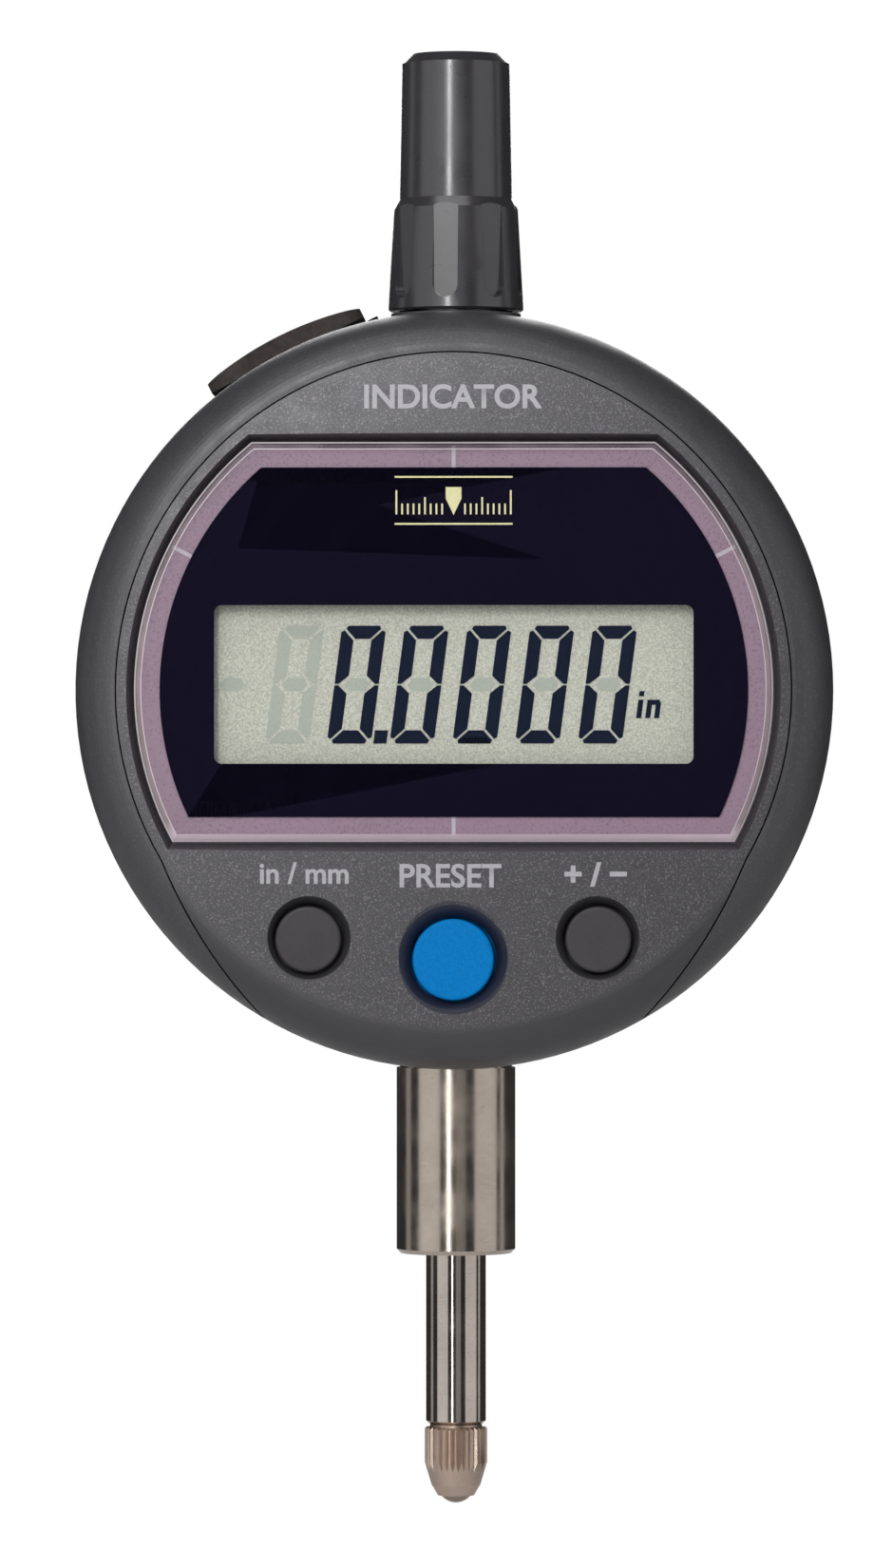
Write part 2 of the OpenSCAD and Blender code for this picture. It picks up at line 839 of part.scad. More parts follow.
module spindle_cap() {
    neck_room_r = neck_r + 0.08;
    neck_room_h = neck_h + 1.2;
    groove_r = neck_r + 1;
    groove_h = 0.95;
    bore_h = spindle_top + travel + 2 - cap_foot;
    edge = 0.75;
    color("#4e4d50") at_centre() difference() {
        rotate_extrude() polygon([
            [0, cap_foot], [cap_r - 0.15, cap_foot], [cap_r, cap_foot + 0.15],
            [skirt_top_r, skirt_top - 0.5], [crown_r[0], skirt_top + 0.3],
            [crown_r[1], cap_top - edge], [crown_r[1] - edge, cap_top], [0, cap_top]
        ]);
        translate([0, 0, cap_foot - through]) cylinder(h = neck_room_h + through, r = neck_room_r);
        translate([0, 0, cap_foot - through]) cylinder(h = groove_h + through, r = groove_r);
        translate([0, 0, cap_foot]) cylinder(h = bore_h, r = spindle_r + 0.35);
        for (i = [0 : flutes - 1])
            rotate(i * 360 / flutes - 90 - flute_turn) flute();
    }
}

// One upright flute, open at the skirt's top and rounded at its foot.
module flute() {
    foot = cap_foot + 0.9 + flute_r;
    translate([cap_r - flute_depth - 0.2, 0, 0]) rotate([90, 0, 90]) linear_extrude(3) {
        translate([0, foot]) circle(flute_r);
        translate([-flute_r, foot]) square([2 * flute_r, skirt_top - foot + through]);
    }
}

// ---- Data port ----

module data_connector() {
    reach = [20.5, 27];
    cavity = 4.4;
    color("#1a1a1c") at_port() difference() {
        block([socket_w + 1.8, socket_h + 1.8, reach[1] - reach[0]], [0, 0, (reach[0] + reach[1]) / 2]);
        block([socket_w, socket_h, cavity + through], [0, 0, reach[1] - cavity / 2 + through / 2]);
        for (i = [0 : contacts - 1])
            block([0.6, 1.2, 8], [contact_x(i), 0, reach[0]]);
    }
}

function contact_x(i) = (i - (contacts - 1) / 2) * contact_pitch;

module data_contacts() {
    color("#c8a858") at_port() for (i = [0 : contacts - 1])
        translate([contact_x(i), 0, contact_u]) {
            block([0.5, 1, 5.6], [0, 0, 2.8]);
            block([0.5, 0.7, 0.3], [0, 0, 5.7]);
        }
}

// The rubber cover: a flat-bottomed pad with a plug that fills the socket.
module data_port_cover() {
    crown_u = port_u + port_crown;
    color("#3c3632") at_port() {
        intersection() {
            translate([0, 0, crown_u - port_arc_r]) rotate([90, 0, 0])
                cylinder(h = port_depth, r = port_arc_r, center = true);
            block([port_w, port_depth, 2 * port_crown], [0, 0, port_u + port_crown]);
            translate([0, 0, port_u - 0.2]) linear_extrude(2 * port_crown)
                rounded_plate(port_w, port_depth, 1.6);
        }
        block([socket_w - 2 * plug_gap, socket_h - 2 * plug_gap, 3.6], [0, 0, port_u - 1.7]);
    }
}

module data_port_flex() {
    color("#141414") at_port() translate([nub_at, 0, nub_foot + 0.1]) cylinder(h = 2, r = nub_r);
}

// ---- Rear ----

module rear_cover() {
    edge = 0.4;
    color("#474548") facing() difference() {
        union() {
            rotate_extrude() polygon([
                [0, rear_h], [body_r - 0.2 - edge, rear_h], [body_r - 0.2, rear_h + edge],
                [body_r - 0.2, -case_back], [0, -case_back]
            ]);
            rotate([0, 90, 0]) translate([0, 0, -lug_t / 2]) linear_extrude(lug_t) {
                translate([-lug_h, 0]) circle(lug_r);
                translate([-rear_h - bite, -lug_r]) square([rear_h - lug_h + bite, 2 * lug_r]);
            }
        }
        translate([0, 0, lug_h]) rotate([0, 90, 0])
            cylinder(h = lug_t + 2 * through, d = lug_hole_d, center = true);
        screw_holes(rear_screws(), rear_h - through, 0);
        ring(seal_r + seal_groove_w / 2, seal_r - seal_groove_w / 2,
            -case_back - seal_groove_depth, -case_back + through);
    }
}

module rear_seal() {
    color("#161616") facing() translate([0, 0, -case_back - seal_groove_depth / 2]) rotate_extrude()
        translate([seal_r, 0]) circle(r = seal_groove_depth / 2 - bite, $fn = 32);
}

module rear_cover_screws() {
    color("#8e8e90") facing() screws(rear_screws(), rear_h, floor_h + 2.6, 1.7, screw_r);
}

// ---- Nodes ----

module solar_cell_top_left() { solar_cell(90, 153); }
module solar_cell_top_right() { solar_cell(27, 90); }
module solar_cell_bottom_left() { solar_cell(153, 270); }
module solar_cell_bottom_right() { solar_cell(-90, 27); }

case_body();
face_cover();
window_lens();
display_mask();
solar_cell_top_left();
solar_cell_top_right();
solar_cell_bottom_left();
solar_cell_bottom_right();
lcd_glass();
lcd_segments();
lcd_reflector();
zebra_strips();
circuit_board();
controller_chip();
storage_capacitor();
encoder_read_head();
board_screws();
face_cover_screws();
key_mat();
unit_button();
preset_button();
sign_button();
stem();
lower_bushing();
upper_bushing();
stem_seal();
spindle();
contact_point();
contact_ball();
scale_carrier();
carrier_screw();
encoder_scale();
guide_pin();
guide_rail();
rail_screws();
return_spring();
spring_post_fixed();
spring_post_moving();
stop_bumper();
cap_neck();
cap_o_ring();
spindle_cap();
data_connector();
data_contacts();
data_port_cover();
data_port_flex();
rear_cover();
rear_seal();
rear_cover_screws();
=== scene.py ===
import math

import bpy
import bmesh
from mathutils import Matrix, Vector


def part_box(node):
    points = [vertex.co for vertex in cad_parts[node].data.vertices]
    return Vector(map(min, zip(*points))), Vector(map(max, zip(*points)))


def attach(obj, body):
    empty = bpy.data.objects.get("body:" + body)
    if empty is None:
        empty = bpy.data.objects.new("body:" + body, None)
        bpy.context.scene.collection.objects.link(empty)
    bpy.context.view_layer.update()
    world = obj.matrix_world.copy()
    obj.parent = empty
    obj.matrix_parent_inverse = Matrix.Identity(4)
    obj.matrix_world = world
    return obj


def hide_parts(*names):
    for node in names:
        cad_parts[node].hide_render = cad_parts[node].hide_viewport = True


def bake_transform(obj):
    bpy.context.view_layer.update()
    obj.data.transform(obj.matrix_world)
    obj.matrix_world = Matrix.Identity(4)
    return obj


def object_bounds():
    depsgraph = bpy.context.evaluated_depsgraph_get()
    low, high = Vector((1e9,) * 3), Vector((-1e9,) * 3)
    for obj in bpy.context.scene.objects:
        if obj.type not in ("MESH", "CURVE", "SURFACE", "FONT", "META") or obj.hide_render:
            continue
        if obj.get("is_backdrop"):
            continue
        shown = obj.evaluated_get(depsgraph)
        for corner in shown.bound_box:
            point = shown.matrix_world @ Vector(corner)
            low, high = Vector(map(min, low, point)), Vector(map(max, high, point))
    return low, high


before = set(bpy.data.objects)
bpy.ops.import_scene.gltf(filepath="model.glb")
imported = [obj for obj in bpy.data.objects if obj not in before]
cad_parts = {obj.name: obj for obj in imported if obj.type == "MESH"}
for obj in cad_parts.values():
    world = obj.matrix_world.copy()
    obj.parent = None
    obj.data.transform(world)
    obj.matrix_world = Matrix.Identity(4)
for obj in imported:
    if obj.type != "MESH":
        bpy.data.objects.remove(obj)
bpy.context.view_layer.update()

MM = 0.001


def low_high(node, axis):
    low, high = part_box(node)
    return low[axis], high[axis]


def middle(node, axis):
    low, high = low_high(node, axis)
    return (low + high) / 2


# ---- Sizes that come from the frame, and the panel's crown and rim ----

CENTRE_Z = middle("rear_cover", 2)
BODY_R = (low_high("case_body", 0)[1] - low_high("case_body", 0)[0]) / 2
CROWN_Y = -14.6 * MM
CROWN_RADIUS = 300 * MM
LENS_FRONT_Y, LENS_BACK_Y = low_high("window_lens", 1)
MASK_FRONT_Y = low_high("display_mask", 1)[0]
WINDOW_LOW, WINDOW_HIGH = low_high("window_lens", 2)
LENS_R = (low_high("window_lens", 0)[1] - low_high("window_lens", 0)[0]) / 2
PLAIN_RIM = 3.4 * MM
PANEL_R = BODY_R - PLAIN_RIM


def at_face(x, z, y):
    """A point given in millimetres across the face, from the case's centre."""
    return Vector((x * MM, y, CENTRE_Z + z * MM))


def panel_y(x, z):
    """Where the domed panel's surface lies at a point of the face, in metres."""
    r = math.hypot(x, z) * MM
    return CROWN_Y + CROWN_RADIUS - math.sqrt(CROWN_RADIUS ** 2 - r ** 2)


# ---- Materials ----


def srgb(r, g, b):
    """A linear colour from 8-bit values as a screen shows them."""
    def linear(v):
        v = v / 255
        return v / 12.92 if v <= 0.04045 else ((v + 0.055) / 1.055) ** 2.4
    return (linear(r), linear(g), linear(b), 1.0)


def scaled(colour, by):
    return tuple(min(1.0, c * by) for c in colour[:3]) + (1.0,)


class Look:
    """A Principled material with helpers for its texture nodes."""

    def __init__(self, name, colour, roughness, metallic=0.0):
        self.material = bpy.data.materials.new(name)
        self.material.use_nodes = True
        self.tree = self.material.node_tree
        self.shader = self.tree.nodes["Principled BSDF"]
        self.set("Base Color", colour)
        self.set("Roughness", roughness)
        self.set("Metallic", metallic)
        self.material.diffuse_color = colour
        self.coords = self.tree.nodes.new("ShaderNodeTexCoord").outputs["Object"]
        self.height = None

    def set(self, socket, value):
        self.shader.inputs[socket].default_value = value

    def join(self, source, target):
        self.tree.links.new(source, target)

    def stretched(self, x, y, z):
        """The object's coordinates in metres, multiplied along each axis."""
        node = self.tree.nodes.new("ShaderNodeMapping")
        node.inputs["Scale"].default_value = (x, y, z)
        self.join(self.coords, node.inputs["Vector"])
        return node.outputs["Vector"]

    def noise(self, size, detail=3.0, stretch=(1, 1, 1)):
        """Noise whose grains are about size metres across."""
        node = self.tree.nodes.new("ShaderNodeTexNoise")
        node.inputs["Scale"].default_value = 1.0
        node.inputs["Detail"].default_value = detail
        self.join(self.stretched(*[s / size for s in stretch]), node.inputs["Vector"])
        return node.outputs["Fac"]

    def height_between(self, low, high):
        """Runs from 0 to 1 as the object's Z goes from low to high."""
        node = self.tree.nodes.new("ShaderNodeSeparateXYZ")
        self.join(self.coords, node.inputs["Vector"])
        return self.spread(node.outputs["Z"], 0.0, 1.0, low, high)

    def beyond(self, x, z, radius, soft):
        """0 inside a circle drawn on the face and 1 outside, with a soft edge. All in metres."""
        node = self.tree.nodes.new("ShaderNodeVectorMath")
        node.operation = "DISTANCE"
        self.join(self.stretched(1, 0, 1), node.inputs[0])
        node.inputs[1].default_value = (x, 0, z)
        return self.spread(node.outputs["Value"], 0.0, 1.0, radius - soft, radius + soft)

    def spread(self, source, low, high, start=0.35, end=0.65):
        """Maps a noise value from start..end to low..high."""
        node = self.tree.nodes.new("ShaderNodeMapRange")
        node.inputs["From Min"].default_value = start
        node.inputs["From Max"].default_value = end
        node.inputs["To Min"].default_value = low
        node.inputs["To Max"].default_value = high
        self.join(source, node.inputs["Value"])
        return node.outputs["Result"]

    def mix(self, factor, first, second):
        node = self.tree.nodes.new("ShaderNodeMix")
        node.data_type = "RGBA"
        self.join(factor, node.inputs["Factor"])
        for socket, value in ((node.inputs[6], first), (node.inputs[7], second)):
            if isinstance(value, tuple):
                socket.default_value = value
            else:
                self.join(value, socket)
        return node.outputs[2]

    def colour(self, source):
        self.join(source, self.shader.inputs["Base Color"])

    def rough(self, source):
        self.join(source, self.shader.inputs["Roughness"])

    def bump(self, source, strength, depth):
        node = self.tree.nodes.new("ShaderNodeBump")
        node.inputs["Strength"].default_value = strength
        node.inputs["Distance"].default_value = depth
        self.join(source, node.inputs["Height"])
        if self.height is not None:
            self.join(self.height, node.inputs["Normal"])
        self.height = node.outputs["Normal"]
        self.join(self.height, self.shader.inputs["Normal"])


def paint(name, colour, fleck, grain=0.16 * MM, roughness=0.42):
    """Metallic paint: flakes in a dark base, under a satin coat."""
    look = Look(name, colour, roughness, metallic=0.25)
    flakes = look.spread(look.noise(grain, 1.0), 0.0, 1.0, 0.56, 0.70)
    clouds = look.spread(look.noise(14 * MM), 0.0, 1.0)
    base = look.mix(clouds, scaled(colour, 0.95), scaled(colour, 1.05))
    look.colour(look.mix(flakes, base, fleck))
    look.rough(look.spread(look.noise(2 * MM), roughness - 0.04, roughness + 0.05))
    look.bump(look.noise(grain, 1.0), 0.18, 0.01 * MM)
    return look.material


def panel_paint(name, colour, fleck, edge_colour, wells):
    """The panel's flecked paint, plain on the outer dome and in the wells round the buttons."""
    look = Look(name, colour, 0.42, metallic=0.25)
    look.set("Specular IOR Level", 0.8)
    grain = 0.14 * MM
    flakes = look.spread(look.noise(grain, 1.0), 0.0, 1.0, 0.54, 0.72)
    dark_flakes = look.spread(look.noise(grain * 1.3, 1.0), 1.0, 0.0, 0.30, 0.46)
    base = look.mix(dark_flakes, colour, scaled(colour, 0.72))
    tone = look.mix(flakes, base, fleck)
    tone = look.mix(look.beyond(0, CENTRE_Z, PANEL_R, 0.25 * MM), tone, edge_colour)
    for x, z, radius, well_colour in wells:
        tone = look.mix(look.beyond(x, z, radius, 0.03 * MM), well_colour, tone)
    look.colour(tone)
    look.rough(look.spread(look.noise(2 * MM), 0.38, 0.47))
    look.bump(look.noise(grain, 1.0), 0.22, 0.012 * MM)
    return look.material


def moulded(name, colour, roughness=0.5, grain=0.12 * MM, depth=0.012 * MM, specular=0.5, coat=0.0):
    """Moulded plastic with a fine eroded texture. A coat gives it a sharper shine."""
    look = Look(name, colour, roughness)
    look.set("Specular IOR Level", specular)
    look.set("Coat Weight", coat)
    look.set("Coat Roughness", 0.2)
    speck = look.spread(look.noise(grain, 2.0), 0.0, 1.0)
    look.colour(look.mix(speck, scaled(colour, 0.9), scaled(colour, 1.1)))
    look.rough(look.spread(look.noise(3 * MM), roughness - 0.05, roughness + 0.07))
    look.bump(look.noise(grain, 2.0), 0.35, depth)
    return look.material


def rubber(name, colour):
    look = Look(name, colour, 0.75)
    dust = look.spread(look.noise(0.7 * MM, 5.0), 0.0, 1.0)
    look.colour(look.mix(dust, scaled(colour, 0.8), scaled(colour, 1.25)))
    look.rough(look.spread(look.noise(1.5 * MM), 0.65, 0.85))
    look.bump(look.noise(0.15 * MM, 3.0), 0.5, 0.02 * MM)
    look.set("Specular IOR Level", 0.3)
    return look.material


def steel(name, colour, roughness=0.22, lay=(1, 1, 14), depth=0.0015 * MM):
    """Ground steel: fine lines round the stretched axis, faint smears and a few dark specks."""
    look = Look(name, colour, roughness, metallic=1.0)
    lines = look.noise(0.9 * MM, 4.0, lay)
    smears = look.noise(3 * MM, 4.0)
    specks = look.spread(look.noise(0.16 * MM, 2.0), 0.0, 1.0, 0.66, 0.74)
    tone = look.mix(look.spread(smears, 0.0, 1.0), scaled(colour, 0.86), scaled(colour, 1.06))
    tone = look.mix(look.spread(lines, 0.0, 0.5), tone, scaled(colour, 1.05))
    look.colour(look.mix(specks, tone, scaled(colour, 0.55)))
    look.rough(look.spread(smears, roughness * 0.8, roughness * 1.3))
    look.bump(lines, 0.15, depth)
    return look.material


def sheet_glass(name, colour, alpha, roughness=0.03):
    look = Look(name, colour, roughness)
    look.rough(look.spread(look.noise(9 * MM), roughness, roughness + 0.02))
    look.set("Alpha", alpha)
    look.material.surface_render_method = "BLENDED"
    return look.material


def solar_cell(name, colour):
    """A film that varies in tone, with fine grain."""
    look = Look(name, colour, 0.3)
    grain = look.spread(look.noise(0.25 * MM, 4.0), 0.0, 1.0)
    cloud = look.spread(look.noise(8 * MM, 2.0), 0.0, 1.0)
    tone = look.mix(cloud, scaled(colour, 0.93), scaled(colour, 1.06))
    look.colour(look.mix(grain, tone, scaled(colour, 1.12)))
    look.rough(look.spread(grain, 0.25, 0.4, 0, 1))
    return look.material


def bevel_glass_painted_light(name, top, side, bottom):
    """The window's polished bevel, coloured with painted light: painted shade at its top, a warm
    painted reflection at its sides, a painted highlight along the bottom and bright painted glint
    streaks.
    """
    look = Look(name, side, 0.15)
    # Painted light by height: the bevel's colour runs from a painted highlight at the bottom to
    # painted shade at the top.
    upper = look.height_between(CENTRE_Z + 4 * MM, WINDOW_HIGH - 1 * MM)
    lower = look.height_between(WINDOW_LOW + 0.6 * MM, WINDOW_LOW + 1.6 * MM)
    tone = look.mix(lower, bottom, side)
    tone = look.mix(upper, tone, top)
    # Painted glints: streaks mixed toward the bright highlight colour.
    painted_glint_streaks = look.spread(look.noise(3 * MM, 2.0), 0.0, 0.22)
    look.colour(look.mix(painted_glint_streaks, tone, bottom))
    look.rough(look.spread(painted_glint_streaks, 0.1, 0.2, 0, 0.22))
    look.set("Alpha", 0.6)
    look.material.surface_render_method = "BLENDED"
    return look.material


def frosted_film(name, colour):
    """The display's reflector: a fine sparkling grain."""
    look = Look(name, colour, 0.55)
    grain = look.spread(look.noise(0.13 * MM, 2.0), 0.0, 1.0)
    look.colour(look.mix(grain, scaled(colour, 0.78), scaled(colour, 1.2)))
    look.rough(look.spread(look.noise(0.3 * MM), 0.45, 0.65))
    look.bump(look.noise(0.13 * MM, 2.0), 0.3, 0.01 * MM)
    return look.material


def ink(name, colour, roughness=0.4, specular=0.4):
    look = Look(name, colour, roughness)
    look.set("Specular IOR Level", specular)
    wear = look.spread(look.noise(0.2 * MM, 3.0), 0.0, 1.0)
    look.colour(look.mix(wear, scaled(colour, 0.95), scaled(colour, 1.05)))
    look.rough(look.spread(look.noise(0.5 * MM), roughness - 0.05, roughness + 0.05))
    return look.material


BUTTON_NODES = ("unit_button", "preset_button", "sign_button")
BUTTON_GAP = 0.23 * MM
SIDE_WELL = 0.46 * MM
PRESET_WELL = 0.88 * MM
HIDDEN_FLANGE = 0.45 * MM
WELL_GREY = srgb(58, 56, 59)
WELL_BLUE = srgb(24, 28, 48)


def wells():
    """Each button's axis, the radius of the well round it, and the well's colour."""
    found = []
    for node in BUTTON_NODES:
        width = PRESET_WELL if node == "preset_button" else SIDE_WELL
        low, high = low_high(node, 0)
        button_r = (high - low) / 2 - BUTTON_GAP - HIDDEN_FLANGE
        colour = WELL_BLUE if node == "preset_button" else WELL_GREY
        found.append((middle(node, 0), middle(node, 2), button_r + BUTTON_GAP + width, colour))
    return found


CASE = paint("case_paint", srgb(70, 69, 72), srgb(84, 83, 86), roughness=0.42)
PANEL = panel_paint("panel_paint", srgb(66, 64, 68), srgb(112, 110, 114), srgb(56, 54, 58), wells())
CAP = moulded("cap_plastic", srgb(50, 48, 52), 0.3, depth=0.009 * MM, coat=0.9)
BUTTON = moulded("button_plastic", srgb(50, 47, 51), 0.55)
BLUE = moulded("preset_plastic", srgb(0, 118, 190), 0.5, specular=0.08)
STEEL = steel("ground_steel", srgb(196, 184, 172), 0.2)
BRIGHT_STEEL = steel("polished_steel", srgb(200, 190, 182), 0.1)
KNURL = steel("knurl_steel", srgb(190, 170, 156), 0.3)
CARBIDE = steel("polished_ball", srgb(150, 134, 120), 0.2)
SCREW = steel("screw_steel", srgb(170, 168, 166), 0.3)
SPRING = steel("spring_wire", srgb(176, 172, 166), 0.25)
ALLOY = steel("machined_alloy", srgb(140, 140, 144), 0.4)
BRONZE = steel("bearing_bronze", srgb(184, 150, 90), 0.32)
GOLD = steel("plated_contact", srgb(212, 176, 92), 0.25)
RUBBER = rubber("rubber_brown", srgb(56, 50, 48))
BLACK_RUBBER = rubber("rubber_black", srgb(26, 26, 27))
KEYS = rubber("key_rubber", srgb(58, 58, 62))
ZEBRA = rubber("zebra_rubber", srgb(192, 120, 140))
BOARD = moulded("board_mask", srgb(30, 94, 60), 0.35)
CHIP = moulded("chip_package", srgb(32, 32, 34), 0.55)
CAN = moulded("capacitor_sleeve", srgb(44, 56, 80), 0.3)
SCALE = moulded("scale_coat", srgb(106, 138, 150), 0.15)
MASK = ink("mask_ink", srgb(17, 14, 33), 0.4, specular=0.02)
CELL = solar_cell("cell_film", srgb(150, 126, 144))
SEAM = ink("cell_seam", srgb(196, 186, 198), 0.5)
REFLECTOR = frosted_film("display_reflector", srgb(206, 208, 194))
DIGIT = ink("digit_ink", srgb(14, 26, 48), 0.5, specular=0.1)
LCD_GLASS = sheet_glass("display_glass", srgb(24, 26, 24), 0.03)
WINDOW_CLEAR = sheet_glass("window_clear", srgb(20, 18, 24), 0.03)
# The window's edge lines: near-white bands of painted highlight along the bevel's edges.
WINDOW_PAINTED_HIGHLIGHT = sheet_glass("window_painted_highlight", srgb(236, 226, 232), 0.75, 0.1)
# The window bevel's colours are painted light: shade at the top, reflection at the sides, highlight
# along the bottom.
WINDOW_BEVEL_PAINTED_LIGHT = bevel_glass_painted_light("window_bevel_painted_light", srgb(58, 50, 54), srgb(150, 140, 134), srgb(236, 218, 228))
PRINT = ink("pale_print", srgb(172, 170, 174), 0.5)
YELLOW = ink("yellow_print", srgb(226, 222, 172), 0.5)
GHOST = ink("unlit_stroke", srgb(184, 191, 178), 0.5)

LOOKS = {
    CASE: ["case_body", "rear_cover"],
    PANEL: ["face_cover"],
    CAP: ["spindle_cap"],
    MASK: ["display_mask"],
    CELL: ["solar_cell_top_left", "solar_cell_top_right",
           "solar_cell_bottom_left", "solar_cell_bottom_right"],
    LCD_GLASS: ["lcd_glass"],
    REFLECTOR: ["lcd_reflector"],
    DIGIT: ["lcd_segments"],
    ZEBRA: ["zebra_strips"],
    BOARD: ["circuit_board"],
    CHIP: ["controller_chip", "encoder_read_head", "data_connector"],
    CAN: ["storage_capacitor"],
    SCREW: ["board_screws", "face_cover_screws", "rail_screws", "rear_cover_screws", "carrier_screw",
            "spring_post_fixed", "spring_post_moving"],
    KEYS: ["key_mat"],
    BUTTON: ["unit_button", "sign_button"],
    BLUE: ["preset_button"],
    STEEL: ["stem"],
    BRIGHT_STEEL: ["spindle", "guide_pin"],
    BRONZE: ["lower_bushing", "upper_bushing"],
    BLACK_RUBBER: ["stem_seal", "stop_bumper", "cap_o_ring", "rear_seal", "data_port_flex"],
    KNURL: ["contact_point"],
    CARBIDE: ["contact_ball"],
    ALLOY: ["scale_carrier", "guide_rail", "cap_neck"],
    SCALE: ["encoder_scale"],
    GOLD: ["data_contacts"],
    RUBBER: ["data_port_cover"],
}


def soften(node, width, angle):
    """Rounds a node's edges that are sharper than the angle, in degrees."""
    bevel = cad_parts[node].modifiers.new("soft_edges", "BEVEL")
    bevel.width = width
    bevel.segments = 3
    bevel.limit_method = "ANGLE"
    bevel.angle_limit = math.radians(angle)


def dress(node, material):
    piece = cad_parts[node]
    piece.data.materials.clear()
    piece.data.materials.append(material)


for material, nodes in LOOKS.items():
    for node in nodes:
        dress(node, material)
soften("data_port_cover", width=0.35 * MM, angle=50)
soften("spindle_cap", width=0.08 * MM, angle=35)


# ---- Pieces drawn in code ----


def add_object(name, mesh, materials, body):
    for material in materials:
        mesh.materials.append(material)
    piece = bpy.data.objects.new(name, mesh)
    bpy.context.scene.collection.objects.link(piece)
    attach(piece, body)
    return piece


def mesh_of(name, points, faces):
    mesh = bpy.data.meshes.new(name)
    mesh.from_pydata([tuple(p) for p in points], [], faces)
    mesh.update()
    return mesh


def slab(polygons, front_y, thick):
    """Points and faces of flat shapes on the face, each given thickness toward the back."""
    points, faces = [], []
    for outline in polygons:
        first = len(points)
        count = len(outline)
        for y in (front_y, front_y + thick):
            points += [at_face(x, z, y) for x, z in outline]
        faces.append([first + i for i in range(count)])
        faces.append([first + count + i for i in reversed(range(count))])
        for i in range(count):
            j = (i + 1) % count
            faces.append([first + j, first + i, first + count + i, first + count + j])
    return points, faces


def outward(mesh):
    work = bmesh.new()
    work.from_mesh(mesh)
    bmesh.ops.recalc_face_normals(work, faces=work.faces)
    work.to_mesh(mesh)
    work.free()


# The window: a clear plate with two flats and a bevelled edge, with painted highlight lines along it
# and a painted reflection on the bevel.


def window_outline(inset):
    """A circle cut by two flats, in millimetres, counter-clockwise as the face is read."""
    arc_steps = 96
    r = LENS_R / MM - inset
    top = (WINDOW_HIGH - CENTRE_Z) / MM - inset
    bottom = (CENTRE_Z - WINDOW_LOW) / MM - inset
    low, high = -math.asin(bottom / r), math.asin(top / r)
    right = [low + (high - low) * i / arc_steps for i in range(arc_steps + 1)]
    left = [math.pi - a for a in reversed(right)]
    return [(r * math.cos(a), r * math.sin(a)) for a in right + left]


def build_window():
    """Rings of the outline, each with its inset in millimetres and its depth, and a flat front."""
    line = 0.11
    bevel = 0.52
    inner_highlight_band = 0.07
    rise = 0.45 * MM
    highlight_band_rise = 0.08 * MM
    edge_rise = 0.05 * MM
    rings = [(0, LENS_BACK_Y), (0, LENS_FRONT_Y + rise), (line, LENS_FRONT_Y + rise - highlight_band_rise),
             (bevel, LENS_FRONT_Y + edge_rise), (bevel + inner_highlight_band, LENS_FRONT_Y)]
    looks = [WINDOW_BEVEL_PAINTED_LIGHT, WINDOW_PAINTED_HIGHLIGHT, WINDOW_CLEAR]
    painted_bevel_look, painted_highlight_look, clear_look = range(len(looks))
    # The side wall and the bevel take the painted reflection, and the two thin rings take the painted
    # highlight.
    look_of_ring = [painted_bevel_look, painted_highlight_look, painted_bevel_look, painted_highlight_look]
    points = []
    for inset, y in rings:
        points += [at_face(x, z, y) for x, z in window_outline(inset)]
    count = len(points) // len(rings)
    faces = []
    for ring in range(len(rings) - 1):
        for i in range(count):
            j = (i + 1) % count
            a, b = ring * count, (ring + 1) * count
            faces.append([a + i, a + j, b + j, b + i])
    faces.append([(len(rings) - 1) * count + i for i in range(count)])
    faces.append([i for i in reversed(range(count))])
    mesh = mesh_of("window", points, faces)
    piece = add_object("window", mesh, looks, "case")
    for i, face in enumerate(mesh.polygons):
        ring = i // count
        face.material_index = look_of_ring[ring] if ring < len(look_of_ring) else clear_look
    outward(mesh)
    piece.visible_shadow = False
    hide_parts("window_lens")


def build_cell_seams():
    """The pale strips that join the solar cells, one at each gap."""
    seam_w = 0.3
    seam_t = 0.3 * MM
    cell_in, cell_out = 1.75, 0.2
    overlap = 0.4
    slant = 27
    front_y = low_high("solar_cell_top_left", 1)[0]
    top = (WINDOW_HIGH - CENTRE_Z) / MM
    bottom = (CENTRE_Z - WINDOW_LOW) / MM
    lens_r = LENS_R / MM
    shapes = []
    for angle, reach in ((slant, lens_r), (180 - slant, lens_r), (90, top), (270, bottom)):
        along = Vector((math.cos(math.radians(angle)), math.sin(math.radians(angle))))
        across = Vector((-along.y, along.x)) * seam_w / 2
        start = along * (reach - cell_in - overlap)
        end = along * (reach - cell_out)
        corners = (start - across, end - across, end + across, start + across)
        shapes.append([tuple(p) for p in corners])
    points, faces = slab(shapes, front_y, seam_t)
    mesh = mesh_of("cell_seams", points, faces)
    outward(mesh)
    add_object("cell_seams", mesh, [SEAM], "case")


# Printed marks. The words follow the domed panel, and the scale lies on the flat mask.


